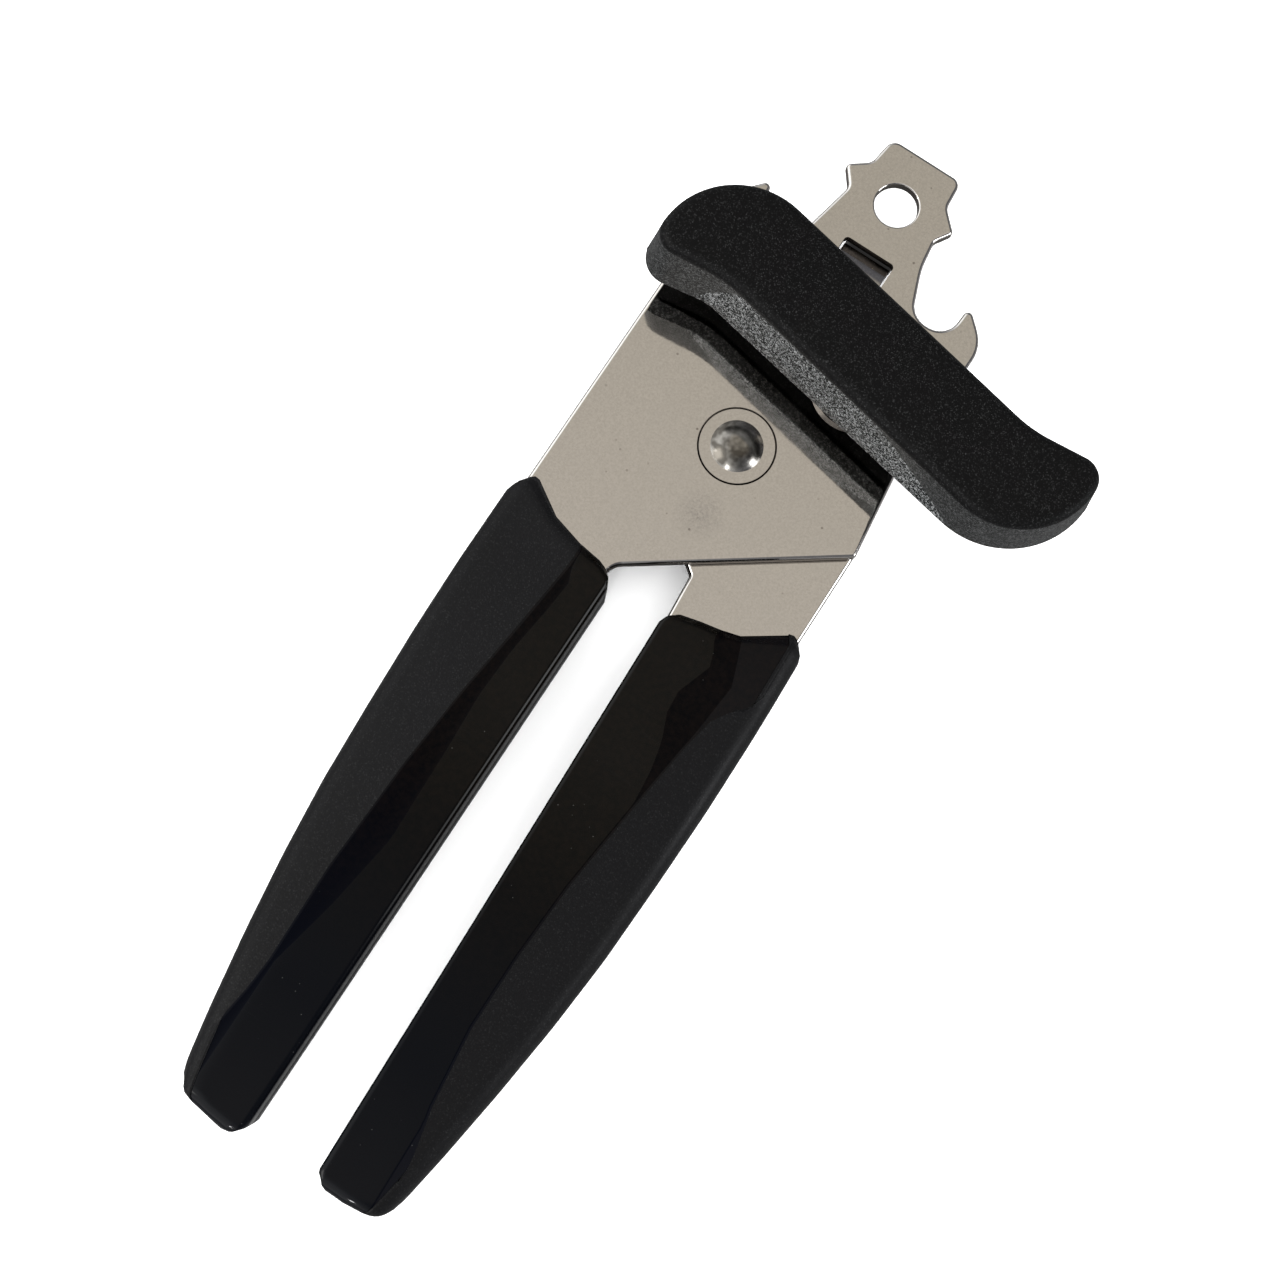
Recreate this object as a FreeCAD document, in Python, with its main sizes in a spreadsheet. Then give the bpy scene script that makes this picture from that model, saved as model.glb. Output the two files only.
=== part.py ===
"""Manual can opener: two crossed steel levers on one pivot, a turning knob that drives a serrated feed
wheel, and a free-rolling cutting wheel on the other lever.

Frame: origin at the centre of the hang hole, half way through the front plate. +Z points to the knob
side, +Y from the handles to the head. The levers lie closed.
"""
import FreeCAD, Part
import math
import os
import Sketcher

V = FreeCAD.Vector

doc = FreeCAD.newDocument("ManualCanOpener")

# ---------------------------------------------------------------- driving dimensions (mm, degrees)
DIMS = {
    # lever plates
    "plate_thick": 2.0,
    "plate_gap": 0.3,
    "edge_roll": 0.8,
    "hang_hole_radius": 4.1,
    "hole_roll": 0.4,
    "pivot_below_hole": 54.2,
    "shaft_right": 12.0,
    "shaft_up": 20.5,
    "closed_skew": 1.7,
    "tab_width": 9.6,
    "tab_drop": 5.8,
    # pivot of the levers
    "bush_head_radius": 6.8,
    "bush_neck_radius": 5.0,
    "bush_head_depth": 1.5,
    "bush_head_rim": 0.35,
    "bush_head_gap": 0.35,
    "pivot_clear": 0.08,
    "rivet_head_radius": 4.75,
    "rivet_head_rise": 2.0,
    "rivet_shank_radius": 2.5,
    "rivet_sleeve_radius": 4.0,
    "rivet_tail_radius": 4.2,
    "rivet_tail_thick": 1.2,
    "rivet_tail_chamfer": 0.4,
    "washer_radius": 6.0,
    "washer_thick": 0.8,
    # knob and its shaft
    "knob_lift": 8.6,
    "knob_rise": 14.6,
    "knob_draft": 7.0,
    "knob_wall": 2.4,
    "knob_edge": 2.6,
    "knob_cover_thick": 2.0,
    "knob_step": 1.0,
    "arm_lift": 3.0,
    "arm_length": 62.0,
    "arm_width": 9.0,
    "arm_thick": 2.5,
    "square_proud": 1.6,
    "clip_bore": 3.25,
    "collar_radius": 3.65,
    "shaft_radius": 3.0,
    "shaft_square": 4.6,
    "seat_radius": 2.6,
    "thread_radius": 2.0,
    "flange_radius": 8.0,
    "flange_rise": 1.4,
    "flange_draft": 0.4,
    "barrel_radius": 5.5,
    "barrel_drop": 2.6,
    "thrust_radius": 5.2,
    "thrust_thick": 0.5,
    "run_gap": 0.1,
    # wheels
    "feed_radius": 6.0,
    "feed_thick": 3.3,
    "feed_teeth": 22,
    "tooth_depth": 0.8,
    "feed_washer_thick": 0.5,
    "feed_washer_radius": 5.0,
    "nut_flats": 7.0,
    "nut_thick": 2.2,
    "nut_chamfer": 0.3,
    "cutter_radius": 10.5,
    "cutter_thick": 1.1,
    "cutter_bevel": 2.0,
    "cutter_land": 0.2,
    "cutter_bore_radius": 3.2,
    "cutter_hub_radius": 3.7,
    "wheel_bite": 1.1,
    "stud_radius": 2.5,
    "stud_head_radius": 4.0,
    "stud_head_thick": 1.0,
    "rim_room": 4.5,
    # handles
    "grip_thick": 17.0,
    "grip_rise": 6.0,
    "grip_edge": 1.6,
    "tang_clear": 0.05,
    "pin_radius": 1.5,
    "pin_reach": 3.0,
}

sheet = doc.addObject("Spreadsheet::Sheet", "Dims")
for row, (alias, size) in enumerate(DIMS.items(), start=1):
    sheet.set(f"A{row}", alias)
    sheet.set(f"B{row}", str(size))
    sheet.setAlias(f"B{row}", alias)
doc.recompute()


def size(alias):
    return float(getattr(sheet, alias))


# Heights that several parts share, as expressions of the driving dimensions. Z = 0 is the middle of the
# front plate.
FRONT_TOP = "Dims.plate_thick / 2"
FRONT_BACK = "-Dims.plate_thick / 2"
REAR_TOP = "-Dims.plate_thick / 2 - Dims.plate_gap"
REAR_BACK = "-Dims.plate_thick * 1.5 - Dims.plate_gap"
CUTTER_TOP = "-Dims.plate_thick * 1.5 - Dims.plate_gap - Dims.rim_room"
PIVOT = ("0 mm", "-Dims.pivot_below_hole")
SHAFT = ("Dims.shaft_right", "Dims.shaft_up - Dims.pivot_below_hole")
CUTTER_FROM_PIVOT = "Dims.shaft_right - Dims.cutter_radius - Dims.feed_radius + Dims.wheel_bite"
CUTTER = (CUTTER_FROM_PIVOT, "Dims.shaft_up - Dims.pivot_below_hole")


def evaluate(expression):
    """The number that an expression of the sheet's cells stands for."""
    words = {alias: size(alias) for alias in DIMS}
    text = str(expression).replace("Dims.", "").replace(" mm", "")
    for alias in sorted(words, key=len, reverse=True):
        text = text.replace(alias, repr(words[alias]))
    total = sheet.evalExpression(text)
    return float(getattr(total, "Value", total))


# ---------------------------------------------------------------- helpers for bodies and sketches
SUBPARTS = []


def new_body(label, place, height="0 mm"):
    """A body named label whose own origin stands at place = (x, y) and height, bound to the sheet."""
    body = doc.addObject("PartDesign::Body", label)
    body.Label = label
    for axis, expression in zip("xyz", (place[0], place[1], height)):
        body.setExpression(f"Placement.Base.{axis}", expression)
    SUBPARTS.append(body)
    return body


def origin_plane(body, role):
    return next(f for f in body.Origin.OriginFeatures if f.Role == role)


def new_sketch(body, name, role="XY_Plane", lift=None):
    sketch = body.newObject("Sketcher::SketchObject", f"{body.Name}_{name}")
    sketch.AttachmentSupport = [(origin_plane(body, role), "")]
    sketch.MapMode = "FlatFace"
    if lift is not None:
        sketch.setExpression("AttachmentOffset.Base.z", lift)
    return sketch


def bind_point(sketch, edge, end, axis, expression):
    """Hold one coordinate of a sketch point at a distance from the sketch's origin."""
    number = evaluate(expression)
    kind = "DistanceX" if axis == "x" else "DistanceY"
    if abs(number) < 1e-9:
        line = -2 if axis == "x" else -1
        sketch.addConstraint(Sketcher.Constraint("PointOnObject", edge, end, line))
        return
    ends = (-1, 1, edge, end) if number > 0 else (edge, end, -1, 1)
    index = sketch.addConstraint(Sketcher.Constraint(kind, *ends, abs(number)))
    sketch.setExpression(f"Constraints[{index}]", expression if number > 0 else f"-({expression})")


def draw_profile(sketch, points):
    """A closed polygon whose corners are pairs of expressions."""
    spots = [V(evaluate(x), evaluate(y), 0) for x, y in points]
    edges = [sketch.addGeometry(Part.LineSegment(a, b)) for a, b in zip(spots, spots[1:] + spots[:1])]
    for here, after in zip(edges, edges[1:] + edges[:1]):
        sketch.addConstraint(Sketcher.Constraint("Coincident", here, 2, after, 1))
    for edge, (x, y) in zip(edges, points):
        bind_point(sketch, edge, 1, "x", x)
        bind_point(sketch, edge, 1, "y", y)


def draw_circle(sketch, radius, centre=("0 mm", "0 mm")):
    spot = V(evaluate(centre[0]), evaluate(centre[1]), 0)
    circle = sketch.addGeometry(Part.Circle(spot, V(0, 0, 1), evaluate(radius)))
    index = sketch.addConstraint(Sketcher.Constraint("Radius", circle, evaluate(radius)))
    sketch.setExpression(f"Constraints[{index}]", radius)
    bind_point(sketch, circle, 3, "x", centre[0])
    bind_point(sketch, circle, 3, "y", centre[1])


def rounded_outline(corners):
    """Lines and tangent arcs of a polygon with corners (x, y, radius)."""
    spots = [V(x, y, 0) for x, y, _ in corners]
    count = len(corners)
    ends = []
    for i, (_, _, radius) in enumerate(corners):
        here = spots[i]
        to_last = (spots[i - 1] - here).normalize()
        to_next = (spots[(i + 1) % count] - here).normalize()
        half = to_last.getAngle(to_next) / 2
        reach = radius / math.tan(half)
        middle = here + (to_last + to_next).normalize() * (radius / math.sin(half) - radius)
        ends.append((here + to_last * reach, middle, here + to_next * reach))
    shapes = []
    for i in range(count):
        shapes.append(Part.Arc(*ends[i]))
        leave, arrive = ends[i][2], ends[(i + 1) % count][0]
        if (arrive - leave).Length > 1e-6:
            shapes.append(Part.LineSegment(leave, arrive))
    return shapes


def draw_outline(sketch, corners):
    for shape in rounded_outline(corners):
        sketch.addGeometry(shape)


def offset_corners(corners, distance):
    """The same outline moved outwards by distance (counter-clockwise corners), radii following."""
    spots = [V(x, y, 0) for x, y, _ in corners]
    count = len(corners)
    moved = []
    for i, (_, _, radius) in enumerate(corners):
        into = (spots[i] - spots[i - 1]).normalize()
        out = (spots[(i + 1) % count] - spots[i]).normalize()
        turn = into.x * out.y - into.y * out.x
        bisector = (V(into.y, -into.x, 0) + V(out.y, -out.x, 0)).normalize()
        reach = distance / bisector.dot(V(into.y, -into.x, 0))
        spot = spots[i] + bisector * reach
        moved.append((spot.x, spot.y, radius + (distance if turn > 0 else -distance)))
    return moved


def turned_corners(corners, degrees):
    """Corners turned about the pivot."""
    c, s = math.cos(math.radians(degrees)), math.sin(math.radians(degrees))
    return [(x * c - y * s, x * s + y * c, radius) for x, y, radius in corners]


def mirrored_corners(corners):
    return [(-x, y, radius) for x, y, radius in reversed(corners)]


# ---------------------------------------------------------------- helpers for features
def pad(body, sketch, length, down=False, taper=None):
    feature = body.newObject("PartDesign::Pad", f"{sketch.Name}_pad")
    feature.Profile = sketch
    feature.setExpression("Length", length)
    feature.Reversed = down
    if taper is not None:
        feature.setExpression("TaperAngle", taper)
    body.Tip = feature
    doc.recompute()
    return feature


def pocket(body, sketch, length, up=False):
    """Cut length deep, downwards unless up, and make sure that it took material away."""
    before = body.Shape.Volume
    feature = body.newObject("PartDesign::Pocket", f"{sketch.Name}_pocket")
    feature.Profile = sketch
    feature.setExpression("Length", length)
    feature.Reversed = up
    body.Tip = feature
    doc.recompute()
    if body.Shape.Volume > before - 1e-6:
        raise RuntimeError(f"{feature.Name} cut nothing")
    return feature


def turned(label, place, points, height="0 mm"):
    """A body of revolution about its own Z axis: points are (radius, z) expressions."""
    body = new_body(label, place, height)
    sketch = new_sketch(body, "profile", "XZ_Plane")
    draw_profile(sketch, points)
    feature = body.newObject("PartDesign::Revolution", f"{label}_turn")
    feature.Profile = sketch
    feature.ReferenceAxis = (sketch, ["V_Axis"])
    feature.Angle = 360
    body.Tip = feature
    doc.recompute()
    return body


def edges_at(feature, height, test=lambda edge: True):
    """Names of the feature's edges that lie flat at a height and pass the test."""
    names = []
    for i, edge in enumerate(feature.Shape.Edges, start=1):
        heights = [v.Z for v in edge.Vertexes] + [edge.CenterOfMass.z]
        if all(abs(z - height) < 1e-4 for z in heights) and test(edge):
            names.append(f"Edge{i}")
    return names


def dress(body, kind, feature, names, expression):
    """Fillet or chamfer the named edges by a bound size."""
    dressing = body.newObject(f"PartDesign::{kind}", f"{feature.Name}_{kind.lower()}")
    dressing.Base = (feature, names)
    dressing.setExpression("Radius" if kind == "Fillet" else "Size", expression)
    body.Tip = dressing
    doc.recompute()
    return dressing


# ---------------------------------------------------------------- outlines
# Corners are (x, y, radius) from the lever pivot, counter-clockwise, levers closed.
FRONT_PLATE = [
    (-18.5, -126, 3), (-10, -126, 3), (-8.2, -36, 2), (-6.2, -29.9, 3.2),
    (28.3, -5.3, 0.9), (26.3, 12, 20), (26.9, 40.4, 7), (21.1, 45.8, 0.95), (20.6, 37.9, 4.1),
    (13.4, 38.1, 4.1), (10.1, 46.8, 14), (9.4, 52.3, 2), (11.5, 55.6, 0.85), (7.9, 59.2, 2.4),
    (7.5, 64.9, 1.8), (-7.4, 64.9, 2.2), (-8.2, 58.9, 2.4), (-12.0, 56, 0.85), (-9.2, 52.4, 2),
    (-12.4, 37, 9), (-27.7, 27.5, 5), (-27.7, -35, 3), (-19.5, -45, 4),
]
REAR_PLATE = [
    (13.2, -126, 3), (21.5, -126, 3), (24.5, -46, 4), (28.2, -36, 3), (28.2, -3.6, 5),
    (20.4, 3.4, 3), (3.4, 10.5, 6), (3.4, 31, 3), (-13, 34.5, 6), (-20.6, 37.4, 4),
    (-21.3, 47, 0.9), (-27.4, 40, 3), (-26.4, 10, 12), (-11, -11, 9), (5.6, -23.7, 0.8),
    (6.5, -36, 2), (12.2, -46, 4),
]
GRIP = [
    (-18.4, -145.1, 2.6), (-5.0, -145.1, 2.0), (-4.7, -31.9, 1.8), (-17.5, -30.3, 8),
    (-25.6, -24.0, 2.8), (-29.6, -24.2, 2.0), (-29.6, -91, 390),
]
TAB_SLOT = [(-4.6, 36.5, 1), (5.8, 36.5, 1), (5.8, 44.2, 0.8), (-4.6, 44.2, 0.8)]
TAB_ROOT = 37.4
TAB_SWEEP, TAB_SLOPE = 11.0, 60
TAB_BEND = 2.6
TAB_INSET = 0.4
TAB_OVERLAP = 1.0
GRIP_PINS = [(14.5, -52, 0), (13.5, -112, 0)]

# The knob's upper edge: half of an S, from the shaft, closed by its own half turn.
KNOB_HALF = [(42.3, -17.5, 15), (43.0, 4.9, 4.0), (28.3, 3.5, 23.6)]
KNOB = KNOB_HALF + [(-x, -y, radius) for x, y, radius in KNOB_HALF]

LEFT_GRIP = GRIP
RIGHT_GRIP = turned_corners(mirrored_corners(GRIP), size("closed_skew"))
LEFT_PINS = mirrored_corners(GRIP_PINS)
RIGHT_PINS = turned_corners(GRIP_PINS, size("closed_skew"))


# ---------------------------------------------------------------- front lever
def make_front_plate():
    """Wide steel plate: tang, hang hole, bottle hook and a tab bent down to ride on the can's rim."""
    body = new_body("front_plate", PIVOT)
    outline = new_sketch(body, "outline", lift=FRONT_BACK)
    draw_outline(outline, FRONT_PLATE)
    plate = pad(body, outline, "Dims.plate_thick")
    dress(body, "Fillet", plate, edges_at(plate, evaluate(FRONT_TOP)), "Dims.edge_roll")

    holes = new_sketch(body, "holes", lift=FRONT_TOP)
    draw_circle(holes, "Dims.hang_hole_radius", ("0 mm", "Dims.pivot_below_hole"))
    draw_circle(holes, "Dims.bush_neck_radius + Dims.pivot_clear")
    draw_circle(holes, "Dims.barrel_radius", ("Dims.shaft_right", "Dims.shaft_up"))
    for x, y, _ in LEFT_PINS:
        draw_circle(holes, "Dims.pin_radius", (f"{x} mm", f"{y} mm"))
    drilled = pocket(body, holes, "Dims.plate_thick")
    hang_y = size("pivot_below_hole")

    def round_the_hang_hole(edge):
        return len(edge.Vertexes) == 1 and abs(edge.CenterOfMass.y - hang_y) < 1

    rim = edges_at(drilled, evaluate(FRONT_TOP), round_the_hang_hole)
    dress(body, "Fillet", drilled, rim, "Dims.hole_roll")

    # Countersink that the pivot bush's head turns in.
    seat = new_sketch(body, "seat", "XZ_Plane")
    seat_floor = f"{FRONT_TOP} - Dims.bush_head_depth - Dims.pivot_clear"
    draw_profile(seat, [
        ("0 mm", FRONT_TOP),
        ("Dims.bush_head_radius + Dims.bush_head_gap", FRONT_TOP),
        ("Dims.bush_head_radius + Dims.bush_head_gap", f"{FRONT_TOP} - Dims.bush_head_rim"),
        ("Dims.bush_neck_radius + Dims.pivot_clear", seat_floor),
        ("0 mm", seat_floor),
    ])
    groove = body.newObject("PartDesign::Groove", "front_plate_seat_groove")
    groove.Profile = seat
    groove.ReferenceAxis = (seat, ["V_Axis"])
    groove.Angle = 360
    body.Tip = groove
    doc.recompute()

    slot = new_sketch(body, "slot", lift=FRONT_TOP)
    draw_outline(slot, TAB_SLOT)
    pocket(body, slot, "Dims.plate_thick")

    # The tab leaves the plate at the slot's near end, slopes away and bends straight down.
    side = new_sketch(body, "tab_side", "YZ_Plane", lift=f"{TAB_SLOT[0][0] + TAB_INSET} mm")
    top, back, thick = evaluate(FRONT_TOP), evaluate(FRONT_BACK), size("plate_thick")

    def on_arc(hub, radius, degrees):
        lean = math.radians(degrees)
        return hub + V(math.sin(lean), math.cos(lean), 0) * radius

    def bend(hub, radius, start, stop):
        spots = [on_arc(hub, radius, degrees) for degrees in (start, (start + stop) / 2, stop)]
        side.addGeometry(Part.Arc(*spots))
        return spots[0], spots[2]

    sweep_hub = V(TAB_ROOT, top - TAB_SWEEP, 0)
    bend_hub = on_arc(sweep_hub, TAB_SWEEP - TAB_BEND, TAB_SLOPE)
    root_outer, _ = bend(sweep_hub, TAB_SWEEP, 0, TAB_SLOPE)
    _, face_outer = bend(bend_hub, TAB_BEND, TAB_SLOPE, 90)
    face_inner, _ = bend(bend_hub, TAB_BEND - thick, 90, TAB_SLOPE)
    _, root_inner = bend(sweep_hub, TAB_SWEEP - thick, TAB_SLOPE, 0)
    foot = back - size("tab_drop")
    low = [face_outer, V(face_outer.x, foot, 0), V(face_inner.x, foot, 0), face_inner]
    root = [root_inner, V(TAB_ROOT - TAB_OVERLAP, back, 0), V(TAB_ROOT - TAB_OVERLAP, top, 0), root_outer]
    for line in (low, root):
        for start, stop in zip(line, line[1:]):
            side.addGeometry(Part.LineSegment(start, stop))
    pad(body, side, "Dims.tab_width")
    return body


def make_shaft_bush():
    """Flanged bearing pressed into the front plate; the knob's shaft turns in it."""
    bore = "Dims.shaft_radius + Dims.pivot_clear"
    return turned("shaft_bush", SHAFT, [
        (bore, f"{FRONT_TOP} + Dims.flange_rise"),
        (bore, f"{FRONT_BACK} - Dims.barrel_drop"),
        ("Dims.barrel_radius", f"{FRONT_BACK} - Dims.barrel_drop"),
        ("Dims.barrel_radius", FRONT_TOP),
        ("Dims.flange_radius", FRONT_TOP),
        ("Dims.flange_radius - Dims.flange_draft", f"{FRONT_TOP} + Dims.flange_rise"),
    ])


# ---------------------------------------------------------------- handles
def make_grip(label, outline_corners, plate_corners, plate_top, pins):
    """Moulded grip closed round the tang of one lever, with two blind holes for its pins."""
    body = new_body(label, PIVOT)
    outline = new_sketch(body, "outline", lift=f"{FRONT_TOP} + Dims.grip_rise")
    draw_outline(outline, outline_corners)
    block = pad(body, outline, "Dims.grip_thick", down=True)
    top = evaluate(f"{FRONT_TOP} + Dims.grip_rise")
    rims = edges_at(block, top) + edges_at(block, top - size("grip_thick"))
    dress(body, "Fillet", block, rims, "Dims.grip_edge")
    socket = new_sketch(body, "socket", lift=f"{plate_top} + Dims.tang_clear")
    draw_outline(socket, offset_corners(plate_corners, size("tang_clear")))
    pocket(body, socket, "Dims.plate_thick + 2 * Dims.tang_clear")
    holes = new_sketch(body, "pin_holes", lift=f"{plate_top} + Dims.pin_reach")
    for x, y, _ in pins:
        draw_circle(holes, "Dims.pin_radius", (f"{x} mm", f"{y} mm"))
    pocket(body, holes, "Dims.plate_thick + 2 * Dims.pin_reach")
    return body


def make_pins(label, plate_top, pins):
    """Two steel pins that lock a grip to its tang."""
    body = new_body(label, PIVOT)
    sketch = new_sketch(body, "pins", lift=f"{plate_top} + Dims.pin_reach")
    for x, y, _ in pins:
        draw_circle(sketch, "Dims.pin_radius", (f"{x} mm", f"{y} mm"))
    pad(body, sketch, "Dims.plate_thick + 2 * Dims.pin_reach", down=True)
    return body


# ---------------------------------------------------------------- rear lever
def make_rear_plate():
    """Steel plate that crosses behind the front one and carries the cutting wheel."""
    body = new_body("rear_plate", PIVOT)
    outline = new_sketch(body, "outline", lift=REAR_BACK)
    draw_outline(outline, REAR_PLATE)
    plate = pad(body, outline, "Dims.plate_thick")
    dress(body, "Fillet", plate, edges_at(plate, evaluate(REAR_TOP)), "Dims.edge_roll")
    holes = new_sketch(body, "holes", lift=REAR_TOP)
    draw_circle(holes, "Dims.rivet_sleeve_radius")
    draw_circle(holes, "Dims.stud_radius", (CUTTER_FROM_PIVOT, "Dims.shaft_up"))
    for x, y, _ in RIGHT_PINS:
        draw_circle(holes, "Dims.pin_radius", (f"{x} mm", f"{y} mm"))
    pocket(body, holes, "Dims.plate_thick")
    return body


def make_pivot_bush():
    """Countersunk bush that the front lever turns on; its head lies flush in the front plate."""
    return turned("pivot_bush", PIVOT, [
        ("Dims.rivet_shank_radius", FRONT_TOP),
        ("Dims.rivet_shank_radius", REAR_BACK),
        ("Dims.rivet_sleeve_radius", REAR_BACK),
        ("Dims.rivet_sleeve_radius", REAR_TOP),
        ("Dims.bush_neck_radius", REAR_TOP),
        ("Dims.bush_neck_radius", f"{FRONT_TOP} - Dims.bush_head_depth"),
        ("Dims.bush_head_radius", f"{FRONT_TOP} - Dims.bush_head_rim"),
        ("Dims.bush_head_radius", FRONT_TOP),
    ])


def make_pivot_washer():
    """Washer under the pivot rivet's tail."""
    return turned("pivot_washer", PIVOT, [
        ("Dims.rivet_shank_radius", REAR_BACK),
        ("Dims.rivet_shank_radius", f"{REAR_BACK} - Dims.washer_thick"),
        ("Dims.washer_radius", f"{REAR_BACK} - Dims.washer_thick"),
        ("Dims.washer_radius", REAR_BACK),
    ])


def make_pivot_rivet():
    """Solid rivet with a domed head in front and a flat upset tail behind."""
    tail = f"{REAR_BACK} - Dims.washer_thick - Dims.rivet_tail_thick"
    body = turned("pivot_rivet", PIVOT, [
        ("0 mm", FRONT_TOP),
        ("0 mm", tail),
        ("Dims.rivet_tail_radius - Dims.rivet_tail_chamfer", tail),
        ("Dims.rivet_tail_radius", f"{REAR_BACK} - Dims.washer_thick"),
        ("Dims.rivet_shank_radius", f"{REAR_BACK} - Dims.washer_thick"),
        ("Dims.rivet_shank_radius", FRONT_TOP),
    ])
    reach, rise = size("rivet_head_radius"), size("rivet_head_rise")
    base = evaluate(FRONT_TOP)
    ball = (reach ** 2 + rise ** 2) / (2 * rise)
    lean = math.asin(reach / ball) / 2
    middle = V(ball * math.sin(lean), base + rise - ball + ball * math.cos(lean), 0)
    dome = new_sketch(body, "dome", "XZ_Plane")
    dome.addGeometry(Part.LineSegment(V(0, base, 0), V(reach, base, 0)))
    dome.addGeometry(Part.Arc(V(reach, base, 0), middle, V(0, base + rise, 0)))
    dome.addGeometry(Part.LineSegment(V(0, base + rise, 0), V(0, base, 0)))
    head = body.newObject("PartDesign::Revolution", "pivot_rivet_head")
    head.Profile = dome
    head.ReferenceAxis = (dome, ["V_Axis"])
    head.Angle = 360
    body.Tip = head
    doc.recompute()
    return body


def make_cutter_stud():
    """Shouldered stud riveted into the rear plate; the cutting wheel rolls on it."""
    head = f"{CUTTER_TOP} - Dims.cutter_thick - Dims.run_gap"
    return turned("cutter_stud", CUTTER, [
        ("0 mm", REAR_TOP),
        ("0 mm", f"{head} - Dims.stud_head_thick"),
        ("Dims.stud_head_radius", f"{head} - Dims.stud_head_thick"),
        ("Dims.stud_head_radius", head),
        ("Dims.stud_radius", head),
        ("Dims.stud_radius", REAR_TOP),
    ])


def make_cutter_washer():
    """Thrust washer between the rear plate and the cutting wheel's hub."""
    return turned("cutter_washer", CUTTER, [
        ("Dims.stud_radius", REAR_BACK),
        ("Dims.stud_radius", f"{REAR_BACK} - Dims.thrust_thick"),
        ("Dims.cutter_hub_radius", f"{REAR_BACK} - Dims.thrust_thick"),
        ("Dims.cutter_hub_radius", REAR_BACK),
    ])


# ---------------------------------------------------------------- cutting wheel
def make_cutter_wheel():
    """Hardened disc, bevelled on one side to a round cutting edge."""
    return turned("cutter_wheel", CUTTER, [
        ("Dims.cutter_bore_radius", CUTTER_TOP),
        ("Dims.cutter_bore_radius", f"{CUTTER_TOP} - Dims.cutter_thick"),
        ("Dims.cutter_radius - Dims.cutter_bevel", f"{CUTTER_TOP} - Dims.cutter_thick"),
        ("Dims.cutter_radius", f"{CUTTER_TOP} - Dims.cutter_land"),
        ("Dims.cutter_radius", CUTTER_TOP),
    ])


def make_cutter_hub():
    """Bronze hub pressed through the cutting wheel, running on the stud."""
    bore = "Dims.stud_radius + Dims.pivot_clear"
    top = f"{REAR_BACK} - Dims.thrust_thick - Dims.run_gap"
    return turned("cutter_hub", CUTTER, [
        (bore, top),
        (bore, f"{CUTTER_TOP} - Dims.cutter_thick"),
        ("Dims.cutter_bore_radius", f"{CUTTER_TOP} - Dims.cutter_thick"),
        ("Dims.cutter_bore_radius", CUTTER_TOP),
        ("Dims.cutter_hub_radius", CUTTER_TOP),
        ("Dims.cutter_hub_radius", top),
    ])


# ---------------------------------------------------------------- knob, shaft and feed wheel
ARM_SLOPE = -10
ARM_ROUND = 3.0
SQUARE_ROUND = 0.3
TOOTH_OVERRUN = 0.4
TOOTH_FILL = 0.9
KNOB_BASE = f"{FRONT_TOP} + Dims.knob_lift"
KNOB_TOP = f"{KNOB_BASE} + Dims.knob_rise"
FEED_TOP = f"{FRONT_BACK} - Dims.barrel_drop - Dims.feed_washer_thick - Dims.run_gap"
FEED_BACK = f"{FEED_TOP} - Dims.feed_thick"


def knob_spread(depth):
    """How far the drafted wall stands out from the upper edge at a depth below it."""
    return depth * math.tan(math.radians(size("knob_draft")))


def cavity_offset():
    """How far the cavity's outline stands out from the upper edge."""
    return knob_spread(size("knob_rise")) - size("knob_wall") - size("knob_step")


def make_knob_shell():
    """S-shaped turning knob: drafted walls, rounded upper edge, hollow underneath."""
    body = new_body("knob_shell", SHAFT)
    outline = new_sketch(body, "outline", lift=KNOB_TOP)
    draw_outline(outline, KNOB)
    block = pad(body, outline, "Dims.knob_rise", down=True, taper="Dims.knob_draft")
    dress(body, "Fillet", block, edges_at(block, evaluate(KNOB_TOP)), "Dims.knob_edge")
    hollow = new_sketch(body, "hollow", lift=KNOB_BASE)
    draw_outline(hollow, offset_corners(KNOB, cavity_offset()))
    pocket(body, hollow, "Dims.knob_rise - Dims.knob_wall", up=True)
    return body


def make_knob_cover():
    """Flat plate that closes the knob's underside, with a hole for the shaft."""
    body = new_body("knob_cover", SHAFT)
    outline = new_sketch(body, "outline", lift=KNOB_BASE)
    draw_outline(outline, offset_corners(KNOB, cavity_offset() - size("tang_clear")))
    draw_circle(outline, "Dims.collar_radius + Dims.tang_clear")
    pad(body, outline, "Dims.knob_cover_thick")
    return body


def rectangle(half_long, half_wide, radius):
    """Corners of a rectangle round the origin."""
    return [(x, y, radius) for x, y in ((-half_long, -half_wide), (half_long, -half_wide),
                                        (half_long, half_wide), (-half_long, half_wide))]


def shaft_square():
    half = size("shaft_square") / 2
    return rectangle(half, half, SQUARE_ROUND)


def make_crank_arm():
    """Steel bar inside the knob, driven by the shaft's square."""
    body = new_body("crank_arm", SHAFT)
    outline = new_sketch(body, "outline", lift=f"{KNOB_BASE} + Dims.knob_cover_thick + Dims.arm_lift")
    length, width = evaluate("Dims.arm_length / 2"), evaluate("Dims.arm_width / 2")
    arm = rectangle(length, width, ARM_ROUND)
    draw_outline(outline, turned_corners(arm, ARM_SLOPE))
    draw_outline(outline, shaft_square())
    pad(body, outline, "Dims.arm_thick")
    return body


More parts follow.
